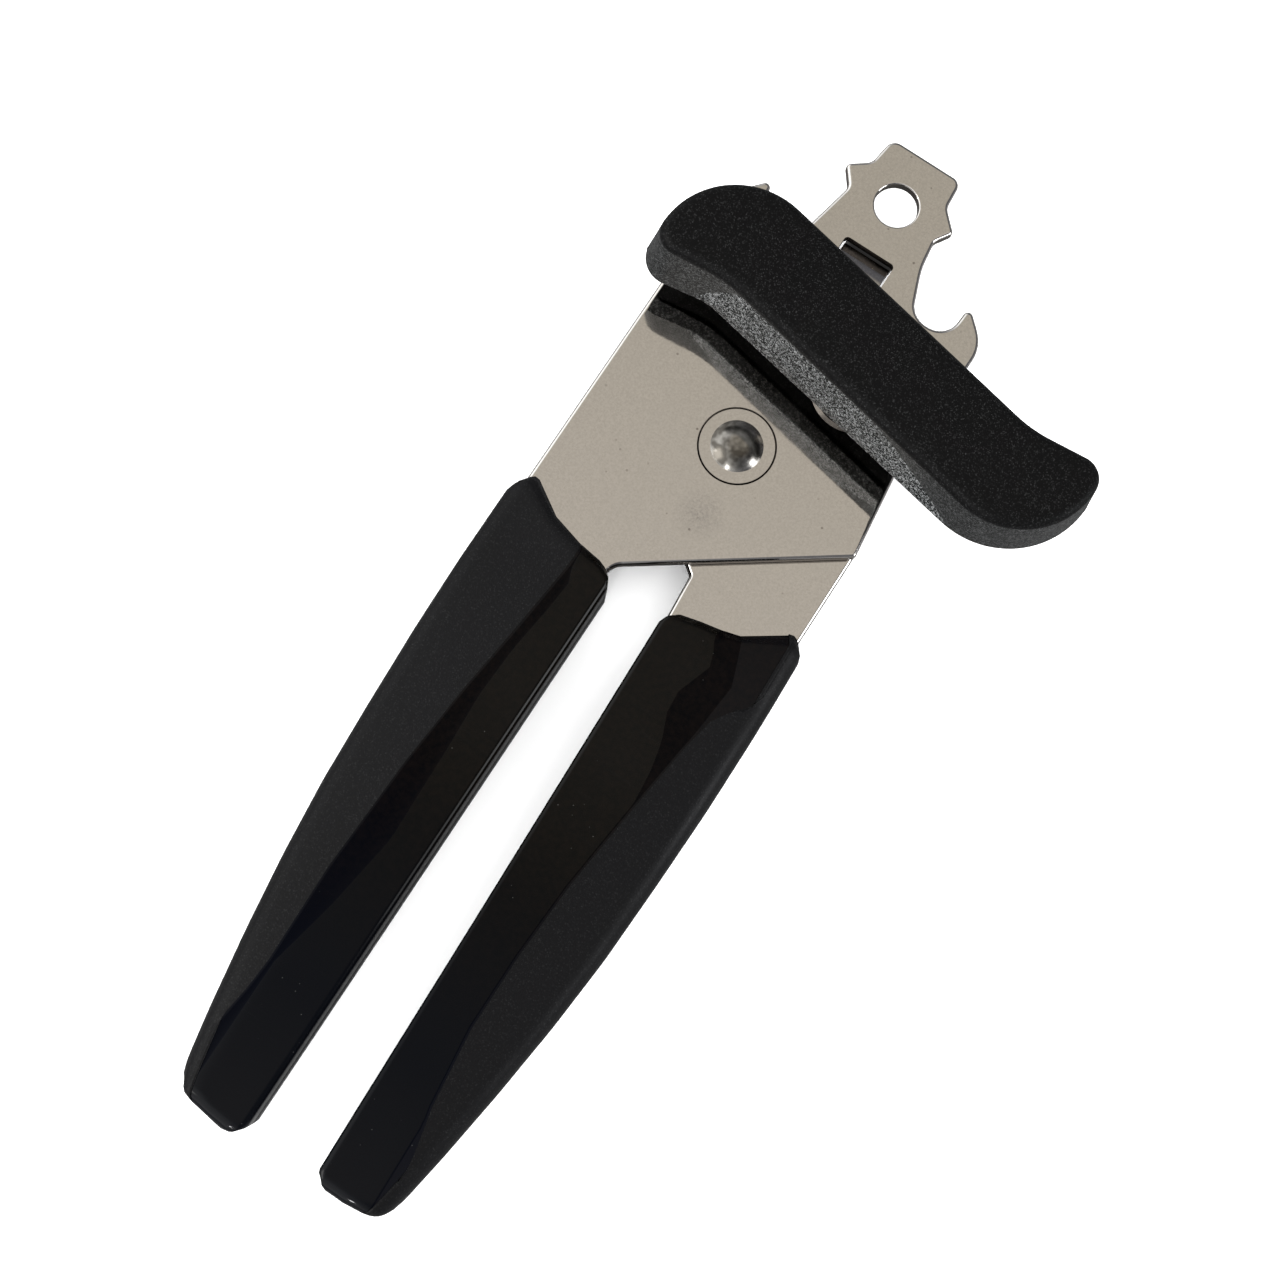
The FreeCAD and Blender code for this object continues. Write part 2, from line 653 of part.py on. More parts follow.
def make_drive_shaft():
    """Stepped shaft: square above the collar, journal in the bush, seat and thread for the wheel."""
    body = turned("drive_shaft", SHAFT, [
        ("0 mm", f"{KNOB_BASE} + Dims.knob_cover_thick + Dims.arm_lift"),
        ("0 mm", f"{FEED_BACK} - Dims.nut_thick"),
        ("Dims.thread_radius", f"{FEED_BACK} - Dims.nut_thick"),
        ("Dims.thread_radius", FEED_BACK),
        ("Dims.seat_radius", FEED_BACK),
        ("Dims.seat_radius", FEED_TOP),
        ("Dims.shaft_radius", FEED_TOP),
        ("Dims.shaft_radius", f"{FRONT_TOP} + Dims.flange_rise + Dims.thrust_thick + Dims.run_gap"),
        ("Dims.collar_radius", f"{FRONT_TOP} + Dims.flange_rise + Dims.thrust_thick + Dims.run_gap"),
        ("Dims.collar_radius", f"{KNOB_BASE} + Dims.knob_cover_thick + Dims.arm_lift"),
    ])
    square = new_sketch(body, "square", lift=f"{KNOB_BASE} + Dims.knob_cover_thick + Dims.arm_lift")
    draw_outline(square, shaft_square())
    pad(body, square, "Dims.arm_thick + Dims.square_proud")
    return body


def make_thrust_washer():
    """Washer between the bush's flange and the shaft's collar."""
    base = f"{FRONT_TOP} + Dims.flange_rise"
    return turned("thrust_washer", SHAFT, [
        ("Dims.shaft_radius + Dims.pivot_clear", f"{base} + Dims.thrust_thick"),
        ("Dims.shaft_radius + Dims.pivot_clear", base),
        ("Dims.thrust_radius", base),
        ("Dims.thrust_radius", f"{base} + Dims.thrust_thick"),
    ])


def make_arm_clip():
    """Push-on ring that holds the crank arm down on the shaft's shoulder."""
    base = f"{KNOB_BASE} + Dims.knob_cover_thick + Dims.arm_lift + Dims.arm_thick"
    return turned("arm_clip", SHAFT, [
        ("Dims.clip_bore", f"{base} + Dims.washer_thick"),
        ("Dims.clip_bore", base),
        ("Dims.washer_radius", base),
        ("Dims.washer_radius", f"{base} + Dims.washer_thick"),
    ])


def make_feed_wheel():
    """Toothed wheel that grips the underside of the can's rim."""
    body = turned("feed_wheel", SHAFT, [
        ("Dims.seat_radius", FEED_TOP),
        ("Dims.seat_radius", FEED_BACK),
        ("Dims.feed_radius", FEED_BACK),
        ("Dims.feed_radius", FEED_TOP),
    ])
    notch = new_sketch(body, "notch", lift=FEED_TOP)
    reach = size("feed_radius")
    half_pitch = math.pi * reach / size("feed_teeth")
    mouth, half_mouth = reach + TOOTH_OVERRUN, half_pitch * TOOTH_FILL
    flank = [V(mouth, half_mouth, 0), V(reach - size("tooth_depth"), 0, 0), V(mouth, -half_mouth, 0)]
    for a, b in zip(flank, flank[1:] + flank[:1]):
        notch.addGeometry(Part.LineSegment(a, b))
    cut = pocket(body, notch, "Dims.feed_thick")
    pattern = body.newObject("PartDesign::PolarPattern", "feed_wheel_teeth")
    pattern.Originals = [cut]
    pattern.Axis = (notch, ["N_Axis"])
    pattern.Angle = 360
    pattern.setExpression("Occurrences", "Dims.feed_teeth")
    body.Tip = pattern
    doc.recompute()
    return body


def make_feed_washer():
    """Washer between the bush's end and the feed wheel."""
    top = f"{FRONT_BACK} - Dims.barrel_drop - Dims.run_gap"
    return turned("feed_washer", SHAFT, [
        ("Dims.shaft_radius", top),
        ("Dims.shaft_radius", f"{top} - Dims.feed_washer_thick"),
        ("Dims.feed_washer_radius", f"{top} - Dims.feed_washer_thick"),
        ("Dims.feed_washer_radius", top),
    ])


def make_feed_nut():
    """Hexagon nut that clamps the feed wheel on the shaft."""
    body = new_body("feed_nut", SHAFT)
    sketch = new_sketch(body, "hexagon", lift=FEED_BACK)
    corner = size("nut_flats") / math.sqrt(3)
    spots = [V(corner * math.cos(math.radians(60 * k)), corner * math.sin(math.radians(60 * k)), 0)
             for k in range(6)]
    for a, b in zip(spots, spots[1:] + spots[:1]):
        sketch.addGeometry(Part.LineSegment(a, b))
    draw_circle(sketch, "Dims.thread_radius")
    block = pad(body, sketch, "Dims.nut_thick", down=True)
    rim = edges_at(block, evaluate(f"{FEED_BACK} - Dims.nut_thick"), lambda edge: len(edge.Vertexes) == 2)
    dress(body, "Chamfer", block, rim, "Dims.nut_chamfer")
    return body


# ---------------------------------------------------------------- assembly and export
make_front_plate()
make_shaft_bush()
make_grip("left_grip", LEFT_GRIP, FRONT_PLATE, FRONT_TOP, LEFT_PINS)
make_pins("left_grip_pins", FRONT_TOP, LEFT_PINS)
make_rear_plate()
make_grip("right_grip", RIGHT_GRIP, REAR_PLATE, REAR_TOP, RIGHT_PINS)
make_pins("right_grip_pins", REAR_TOP, RIGHT_PINS)
make_pivot_bush()
make_pivot_washer()
make_pivot_rivet()
make_cutter_stud()
make_cutter_washer()
make_cutter_wheel()
make_cutter_hub()
make_knob_shell()
make_knob_cover()
make_crank_arm()
make_arm_clip()
make_drive_shaft()
make_thrust_washer()
make_feed_washer()
make_feed_wheel()
make_feed_nut()

doc.recompute()
for item in doc.Objects:
    if "Invalid" in item.State or "Error" in item.State:
        raise RuntimeError(f"{item.Name} failed: {item.State}")
os.makedirs("parts", exist_ok=True)
for body in SUBPARTS:
    if body.Shape.isNull() or not body.Shape.isValid() or not body.Shape.Solids:
        raise RuntimeError(f"{body.Label} has no valid solid")
    box = body.Shape.BoundBox
    spans = ((box.XMin, box.XMax), (box.YMin, box.YMax), (box.ZMin, box.ZMax))
    reach = "  ".join(f"{axis} {low:7.2f} {high:7.2f}" for axis, (low, high) in zip("xyz", spans))
    print(f"{body.Label:16s} {len(body.Shape.Solids)} solid(s) {body.Shape.Volume:9.1f} mm3  {reach}")
    body.Shape.exportStep(f"parts/{body.Label}.step")
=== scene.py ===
import math

import bpy
import numpy as np
from mathutils import Matrix, Vector


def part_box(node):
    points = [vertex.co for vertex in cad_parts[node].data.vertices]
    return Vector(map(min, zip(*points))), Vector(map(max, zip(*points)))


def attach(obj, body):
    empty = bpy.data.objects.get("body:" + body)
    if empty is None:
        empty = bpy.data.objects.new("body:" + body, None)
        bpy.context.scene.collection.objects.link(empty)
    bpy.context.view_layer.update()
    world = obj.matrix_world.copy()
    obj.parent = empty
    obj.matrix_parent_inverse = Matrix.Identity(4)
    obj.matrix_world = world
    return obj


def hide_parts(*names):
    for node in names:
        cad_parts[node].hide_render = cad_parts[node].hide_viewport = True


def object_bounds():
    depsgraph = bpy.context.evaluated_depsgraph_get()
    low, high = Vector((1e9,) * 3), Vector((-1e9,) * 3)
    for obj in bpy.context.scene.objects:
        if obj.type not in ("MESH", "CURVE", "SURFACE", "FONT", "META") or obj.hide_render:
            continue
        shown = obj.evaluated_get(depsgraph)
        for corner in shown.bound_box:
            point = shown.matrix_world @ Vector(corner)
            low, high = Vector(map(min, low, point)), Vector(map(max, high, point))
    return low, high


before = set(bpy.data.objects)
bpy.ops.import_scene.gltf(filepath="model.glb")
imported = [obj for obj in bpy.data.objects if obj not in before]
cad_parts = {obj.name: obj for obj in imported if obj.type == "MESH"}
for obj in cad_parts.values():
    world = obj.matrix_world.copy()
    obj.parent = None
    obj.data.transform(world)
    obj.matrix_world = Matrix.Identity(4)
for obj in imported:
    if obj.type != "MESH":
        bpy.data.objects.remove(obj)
CAD_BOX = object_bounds()
MM = 0.001


def centre_of(node):
    low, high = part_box(node)
    return (low + high) / (2 * MM)


PIVOT = centre_of("pivot_rivet")
SHAFT = centre_of("drive_shaft")
PLATE_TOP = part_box("front_plate")[1].z / MM
GRIP_LOW, GRIP_HIGH = (corner.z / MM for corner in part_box("left_grip"))
KNOB_LOW, KNOB_HIGH = (corner.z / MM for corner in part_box("knob_shell"))
FLOOR = min(corner.z for corner in CAD_BOX)
# Degrees that the right grip is turned about the pivot, from the left grip's mirror image.
CLOSED_SKEW = 1.7


# ---------------------------------------------------------------- material building blocks
class Nodes:
    """A material's node tree with short calls for the nodes used here."""

    def __init__(self, name):
        self.material = bpy.data.materials.new(name)
        self.material.use_nodes = True
        self.tree = self.material.node_tree
        self.tree.nodes.clear()
        self.out = self.tree.nodes.new("ShaderNodeOutputMaterial")
        self.shader = self.tree.nodes.new("ShaderNodeBsdfPrincipled")
        self.tree.links.new(self.shader.outputs[0], self.out.inputs["Surface"])
        self.place = self.tree.nodes.new("ShaderNodeTexCoord").outputs["Object"]

    def put(self, socket, value):
        if isinstance(value, bpy.types.NodeSocket):
            self.tree.links.new(value, socket)
        else:
            socket.default_value = value

    def node(self, kind, values, **settings):
        made = self.tree.nodes.new(kind)
        for key, value in settings.items():
            setattr(made, key, value)
        for key, value in values.items():
            self.put(made.inputs[key], value)
        return made

    def shade(self, **values):
        for key, value in values.items():
            self.put(self.shader.inputs[key.replace("_", " ")], value)

    def stretched(self, scale, turn=0.0):
        """Object coordinates turned about Z and scaled by (x, y, z)."""
        return self.node("ShaderNodeMapping", {"Vector": self.place, "Scale": scale,
                                               "Rotation": (0, 0, math.radians(turn))}).outputs[0]

    def noise(self, scale, detail=2.0, rough=0.5, vector=None):
        return self.node("ShaderNodeTexNoise", {"Vector": vector or self.place, "Scale": scale,
                                                "Detail": detail, "Roughness": rough}).outputs["Fac"]

    def cells(self, scale):
        return self.node("ShaderNodeTexVoronoi", {"Vector": self.place, "Scale": scale})

    def ramp(self, value, low, high, to_low=0.0, to_high=1.0):
        return self.node("ShaderNodeMapRange", {"Value": value, "From Min": low, "From Max": high,
                                                "To Min": to_low, "To Max": to_high}).outputs[0]

    def math(self, operation, a, b):
        made = self.tree.nodes.new("ShaderNodeMath")
        made.operation = operation
        self.put(made.inputs[0], a)
        self.put(made.inputs[1], b)
        return made.outputs[0]

    def mix(self, factor, a, b):
        made = self.tree.nodes.new("ShaderNodeMix")
        made.data_type = "RGBA"
        self.put(made.inputs["Factor"], factor)
        for key, value in (("A", a), ("B", b)):
            socket = [s for s in made.inputs if s.name == key and s.type == "RGBA"][0]
            self.put(socket, value if isinstance(value, bpy.types.NodeSocket) else (*value, 1.0))
        return [s for s in made.outputs if s.type == "RGBA"][0]

    def upright(self):
        """1 where the surface faces up or down the object's Z, 0 where it stands on edge."""
        normal = self.tree.nodes.new("ShaderNodeTexCoord").outputs["Normal"]
        parts = self.node("ShaderNodeSeparateXYZ", {"Vector": normal})
        return self.math("ABSOLUTE", parts.outputs["Z"], 0.0)

    def bump(self, height, distance, strength):
        values = {"Height": height, "Distance": distance, "Strength": strength}
        return self.node("ShaderNodeBump", values).outputs[0]


def scaled(colour, factor):
    return tuple(c * factor for c in colour)


def plated_steel(name, tint=(0.80, 0.775, 0.74), patch_shade=0.0, shade_below=None, smudge=None):
    """Bright nickel: haze, hairline scratches, dust specks and dull sheared edges.

    patch_shade, 0 to 1, is how strong its dark patches of painted shade are. It paints shade below the height
    shade_below, and smudge is the middle of one greasy mark, both in metres.
    """
    m = Nodes(name)
    haze = m.noise(90, 3.0, 0.6)
    hairs = m.noise(60, 2.0, 0.5, m.stretched((1.0, 26.0, 1.0), 24))
    specks = m.cells(330).outputs["Distance"]
    spots = m.math("MULTIPLY", m.ramp(specks, 0.10, 0.05), m.ramp(m.noise(150), 0.52, 0.6))
    fine = m.noise(2600, 2.0, 0.7)
    even = m.mix(m.ramp(fine, 0.32, 0.68), scaled(tint, 1.04), scaled(tint, 0.90))
    worn = m.mix(m.ramp(haze, 0.35, 0.75, 0.0, 0.35), even, scaled(tint, 0.90))
    # Dark patches, as strong as patch_shade: painted shade.
    patches = m.ramp(m.noise(190, 3.0, 0.6), 0.36, 0.60, 0.0, patch_shade)
    patch_shaded = m.mix(patches, worn, (0.065, 0.058, 0.048))
    dust_and_shade = m.mix(m.math("MULTIPLY", spots, 0.55), patch_shaded, (0.12, 0.09, 0.07))
    if smudge is not None:
        gap = m.node("ShaderNodeVectorMath", {0: m.place, 1: smudge}, operation="DISTANCE").outputs["Value"]
        speckle = m.ramp(m.noise(2400, 3.0, 0.7), 0.35, 0.65)
        grease = m.math("MULTIPLY", m.ramp(gap, 0.0052, 0.0012), speckle)
        dust_and_shade = m.mix(m.math("MULTIPLY", grease, 0.40), dust_and_shade, (0.33, 0.33, 0.345))
    # Painted shade below the height shade_below, where the tab bends down under the plate: the colour
    # darkens, in streaks.
    if shade_below is not None:
        height = m.node("ShaderNodeSeparateXYZ", {"Vector": m.place}).outputs["Z"]
        streaks = m.ramp(m.noise(420, 2.0, 0.5, m.stretched((0.25, 1.0, 3.0))), 0.42, 0.60, 1.0, 0.55)
        sunk_shade = m.math("MULTIPLY", m.ramp(height, shade_below, shade_below - 0.0012), streaks)
        dust_and_shade = m.mix(sunk_shade, dust_and_shade, (0.035, 0.033, 0.032))
    sheared = m.ramp(m.upright(), 0.62, 0.30)
    polish = m.ramp(m.math("ADD", haze, m.math("MULTIPLY", hairs, 0.4)), 0.45, 1.0, 0.03, 0.09)
    dull = m.math("MULTIPLY", m.math("ADD", sheared, patch_shade * 0.6), 0.3)
    relief = m.math("ADD", m.noise(1500, 2.0), m.math("MULTIPLY", hairs, 0.5))
    m.shade(Base_Color=m.mix(sheared, dust_and_shade, (0.17, 0.15, 0.135)), Metallic=1.0,
            Roughness=m.math("ADD", polish, dull), Normal=m.bump(relief, 0.000004, 0.35))
    return m.material


def turned_steel(name, tint, rough=0.28):
    """Machined or zinc-plated steel: fine rings of tool marks and small stains."""
    m = Nodes(name)
    marks = m.noise(900, 2.0, 0.5, m.stretched((0.25, 0.25, 4.0)))
    stain = m.noise(260, 4.0, 0.6)
    m.shade(Base_Color=m.mix(m.ramp(stain, 0.4, 0.7), tint, scaled(tint, 0.72)), Metallic=1.0,
            Roughness=m.ramp(stain, 0.3, 0.7, rough - 0.08, rough + 0.10),
            Normal=m.bump(marks, 0.00003, 0.5))
    return m.material


def grain_plastic(name, base, glint, grain, rough, gloss, share, size, spread):
    """Black moulded plastic with a spark-eroded grain: fine bumps, and painted glints, pale colour in some of
    its cells.

    Cells above share, 0 to 1, carry painted glints as strong as glint, and size is how many there are in a
    metre.
    grain is the bumps' height in metres, and spread is how far the gloss differs between the cells.
    """
    m = Nodes(name)
    fine = m.noise(3600, 2.0, 0.7)
    coarse = m.noise(1500, 2.0, 0.6)
    height = m.math("ADD", fine, m.math("MULTIPLY", coarse, 0.7))
    chance = m.node("ShaderNodeSeparateColor", {"Color": m.cells(size).outputs["Color"]}).outputs["Red"]
    sparks = m.math("POWER", m.ramp(chance, share, 1.0), 2.0)
    sparks = m.math("MULTIPLY", sparks, m.ramp(coarse, 0.35, 0.6, 0.4, 1.0))
    worn = m.noise(45, 3.0, 0.6)
    body = m.mix(m.ramp(worn, 0.35, 0.7), base, scaled(base, 1.25))
    dimmest, brightest = gloss * (1 - 0.4 * spread), gloss * (1 + spread)
    # Painted glint: the sparkling cells get pale colour, as well as more gloss.
    m.shade(Base_Color=m.mix(m.math("MULTIPLY", sparks, glint), body, (0.55, 0.57, 0.58)),
            Roughness=m.ramp(m.math("ADD", fine, worn), 0.7, 1.3, rough + 0.08, rough - 0.08),
            Specular_IOR_Level=m.ramp(sparks, 0.0, 0.8, dimmest, brightest),
            Normal=m.bump(height, grain, 1.0))
    return m.material


# Metres from the frame's origin towards the tails, where the grips are least glossy.
DULLEST_AT = 0.158


def gloss_plastic(name, base, gloss):
    """Polished black plastic: slight flow waviness, hairline scratches, dust, a faint warm mottle.

    The colour turns cool towards the tails, and the gloss is half as strong round DULLEST_AT.
    """
    m = Nodes(name)
    wave = m.noise(34, 1.0, 0.4)
    along = m.node("ShaderNodeSeparateXYZ", {"Vector": m.place}).outputs["Y"]
    from_dullest = m.math("ABSOLUTE", m.math("ADD", along, DULLEST_AT), 0.0)
    grains = m.ramp(m.cells(520).outputs["Distance"], 0.07, 0.03)
    dust = m.math("MULTIPLY", grains, m.ramp(m.noise(80), 0.5, 0.6))
    hairs = m.ramp(m.noise(80, 2.0, 0.5, m.stretched((1.0, 22.0, 1.0), -32)), 0.62, 0.75)
    warm = tuple(c + more for c, more in zip(base, (0.0009, 0.0005, 0.0003)))
    cool = tuple(c + 0.0007 * share for c, share in zip(base, (0.3, 0.6, 1.6)))
    mottle = m.mix(m.ramp(m.noise(900, 3.0, 0.7), 0.35, 0.65), base, warm)
    mottle = m.mix(m.ramp(along, -0.130, -0.170), mottle, cool)
    scuffs = m.math("ADD", m.noise(120, 3.0), m.math("MULTIPLY", hairs, 0.5))
    m.shade(Base_Color=m.mix(m.math("MULTIPLY", dust, 0.06), mottle, (0.35, 0.34, 0.33)),
            Roughness=m.ramp(scuffs, 0.3, 1.0, 0.07, 0.20),
            Specular_IOR_Level=m.ramp(from_dullest, 0.015, 0.045, gloss * 0.5, gloss),
            Normal=m.bump(wave, 0.0004, 0.25))
    return m.material


NICKEL = plated_steel("plated_steel")
# The front plate's material paints shade on its tab, bent down below the plate, and one greasy smudge near
# the pivot.
HEAD_NICKEL = plated_steel("head_steel", shade_below=(PLATE_TOP - 0.6) * MM,
                           smudge=((PIVOT.x + 1.2) * MM, (PIVOT.y - 14.1) * MM, PLATE_TOP * MM))
# The rivet's dome: a darker copy of the nickel with dark patches, painted shade for the darker surroundings
# that the dome reflects.
DOME_SHADE_STEEL = plated_steel("dome_shade_steel", (0.60, 0.58, 0.54), patch_shade=0.92)
# This steel's very dark tint is partly the steel's colour and partly painted shade, for the shade under the
# knob.
BUSH = turned_steel("bush_steel", (0.11, 0.10, 0.09))
ZINC = turned_steel("zinc_steel", (0.60, 0.60, 0.59), 0.33)
BLADE = turned_steel("blade_steel", (0.50, 0.50, 0.51), 0.22)
BRONZE = turned_steel("bronze", (0.62, 0.44, 0.24), 0.30)
# KNOB_FACE, KNOB_SIDE and KNOB_FLANK are lit and shaded copies of one grained plastic, as painted light: the
# walls are painted paler than the top, and the slanted flanks carry far stronger painted glints.
KNOB_FACE = grain_plastic("knob_face", (0.0010, 0.0010, 0.0011), 0.020, 0.00004, 0.50, 0.12, 0.74, 6200, 0.8)
KNOB_SIDE = grain_plastic("knob_side", (0.005, 0.0052, 0.0052), 0.080, 0.00008, 0.45, 0.17, 0.30, 5000, 1.6)
KNOB_FLANK = grain_plastic("knob_flank", (0.003, 0.0033, 0.0033), 0.42, 0.00012, 0.40, 0.28, 0.36, 5000, 2.4)
SATIN = grain_plastic("grip_satin", (0.0020, 0.0020, 0.0023), 0.006, 0.00003, 0.40, 0.13, 0.74, 5600, 0.4)
GLOSS = gloss_plastic("grip_gloss", (0.0007, 0.0007, 0.0006), 0.18)
# A darker, less glossy copy of the gloss for the grips' lens: painted shade for the lens's darker reflection.
LENS_SHADE_GLOSS = gloss_plastic("grip_lens_shade_gloss", (0.0003, 0.0003, 0.0005), 0.07)
SOFT_GLOSS = gloss_plastic("grip_soft_gloss", (0.0010, 0.0010, 0.0013), 0.14)

CAD_FINISH = {
    NICKEL: ("rear_plate", "pivot_bush"),
    HEAD_NICKEL: ("front_plate",),
    DOME_SHADE_STEEL: ("pivot_rivet",),
    BUSH: ("shaft_bush", "cutter_stud", "drive_shaft"),
    ZINC: ("left_grip_pins", "right_grip_pins", "pivot_washer", "cutter_washer", "crank_arm", "arm_clip",
           "thrust_washer", "feed_washer", "feed_nut"),
    BLADE: ("cutter_wheel", "feed_wheel"),
    BRONZE: ("cutter_hub",),
    KNOB_FACE: ("knob_shell", "knob_cover"),
    GLOSS: ("left_grip", "right_grip"),
}
for finish, nodes in CAD_FINISH.items():
    for node in nodes:
        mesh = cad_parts[node].data
        mesh.materials.clear()
        mesh.materials.append(finish)


# ---------------------------------------------------------------- mesh building blocks
def make_piece(name, verts, faces, materials, place, sharp):
    """A smooth-shaded mesh from points in millimetres, faces (vertices, material) and sharp edges."""
    mesh = bpy.data.meshes.new(name)
    mesh.from_pydata([tuple(Vector(v) * MM) for v in verts], [], [face for face, _ in faces])
    for material in materials:
        mesh.materials.append(material)
    for polygon, (_, index) in zip(mesh.polygons, faces):
        polygon.material_index = index
        polygon.use_smooth = True
    wanted = {tuple(sorted(pair)) for pair in sharp}
    for edge in mesh.edges:
        if tuple(sorted(edge.vertices)) in wanted:
            edge.use_edge_sharp = True
    mesh.transform(place)
    mesh.validate()
    piece = bpy.data.objects.new(name, mesh)
    bpy.context.scene.collection.objects.link(piece)
    return piece


def finish_piece(piece, body, slot, *nodes):
    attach(piece, body)
    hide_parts(*nodes)


# ---------------------------------------------------------------- knob
# Halves of the S at the top and at the base, from the knob's middle, as corners (x, y, radius); the other
# half is the half turn. The middle stands off the shaft by KNOB_SHIFT.
KNOB_TOP_HALF = [(42.3, -17.5, 15), (43.0, 4.9, 4.0), (28.3, 3.5, 23.6)]
KNOB_BASE_HALF = [(44.4, -18.4, 16.9), (44.5, 6.5, 4.9), (30.4, 4.2, 13.2)]
KNOB_SHIFT = 0.6
KNOB_ROLL = 1.9
WALL_HIGH = KNOB_HIGH - KNOB_LOW - KNOB_ROLL
# What is left of a band of the wall where it runs out.
THIN = 0.35
# The recess in the underside, and the small chamfer of the base edge.
RECESS_DEEP, RECESS_WALL, BASE_CHAMFER = 1.6, 3.4, 0.25
# Rows of points, counted from the recess up: where the wall begins, where each flank ends, the wall's top.
WALL_ROW, LOW_FLANK_ROW, HIGH_FLANK_ROW, TOP_ROW = 3, 6, 8, 11
# How far each flank reaches along the front wall, and the stretch of it where its crease is soft.
FLANK_START, LOW_FLANK_STOP, HIGH_FLANK_STOP = -31.5, 18.0, 26.0
SOFT_START, SOFT_STOP = -25, 3.7
ARC_STEPS, LONG_LINE_STEPS, SHORT_LINE_STEPS = 30, 40, 6
# The numbers of the knob's materials, KNOB_FACE, KNOB_SIDE and KNOB_FLANK.
ON_FACE, ON_SIDE, ON_FLANK = range(3)


def whole_turn(half):
    return half + [(-x, -y, radius) for x, y, radius in half]


def sample_outline(corners):
    """Points and outward normals round an outline of corners (x, y, radius), counter-clockwise."""
    spots = np.array([c[:2] for c in corners], float)
    points, normals, ends = [], [], []
    for i, (_, _, radius) in enumerate(corners):
        here = spots[i]
        back = (spots[i - 1] - here) / np.linalg.norm(spots[i - 1] - here)
        on = (spots[(i + 1) % len(spots)] - here) / np.linalg.norm(spots[(i + 1) % len(spots)] - here)
        half = math.acos(np.clip(back @ on, -1, 1)) / 2
        hub = here + (back + on) / np.linalg.norm(back + on) * radius / math.sin(half)
        ends.append((here + back * radius / math.tan(half), hub, here + on * radius / math.tan(half)))
    for i, (start, hub, stop) in enumerate(ends):
        a0 = math.atan2(*(start - hub)[::-1])
        sweep = (math.atan2(*(stop - hub)[::-1]) - a0 + math.pi) % (2 * math.pi) - math.pi
        side = 1 if sweep > 0 else -1
        for k in range(ARC_STEPS + 1):
            a = a0 + sweep * k / ARC_STEPS
            out = np.array([math.cos(a), math.sin(a)])
            points.append(hub + out * np.linalg.norm(start - hub))
            normals.append(out * side)
        ahead = ends[(i + 1) % len(ends)][0]
        along = (ahead - stop) / np.linalg.norm(ahead - stop)
        count = LONG_LINE_STEPS if i % 3 == 2 else SHORT_LINE_STEPS
        for k in range(1, count):
            points.append(stop + (ahead - stop) * k / count)
            normals.append(np.array([along[1], -along[0]]))
    return np.array(points), np.array(normals)


def flank_heights(x):
    """Heights at which the two slanted flanks of the waist end, at a distance along the front wall."""
    low, high = WALL_HIGH - 2 * THIN, WALL_HIGH - THIN
    first = np.interp(x, [-32, -25, 3.7, 18.3], [THIN, low, low, THIN])
    second = np.interp(x, [-32, -25, 6.4, 26.0], [2 * THIN, high, high, 2 * THIN])
    return first, second


def flank_bulge(x):
    """How far the two creases above the flanks stand out from the straight wall between the outlines."""
    return (np.interp(x, [-32, -28, -24, 3.7, 9, 15, 18.3], [0, -0.12, 0, 0, -0.45, -0.35, 0]),
            np.interp(x, [-32, -28, -24, 6.4, 12, 20, 26], [0, -0.12, 0, 0, -0.5, -0.45, 0]))


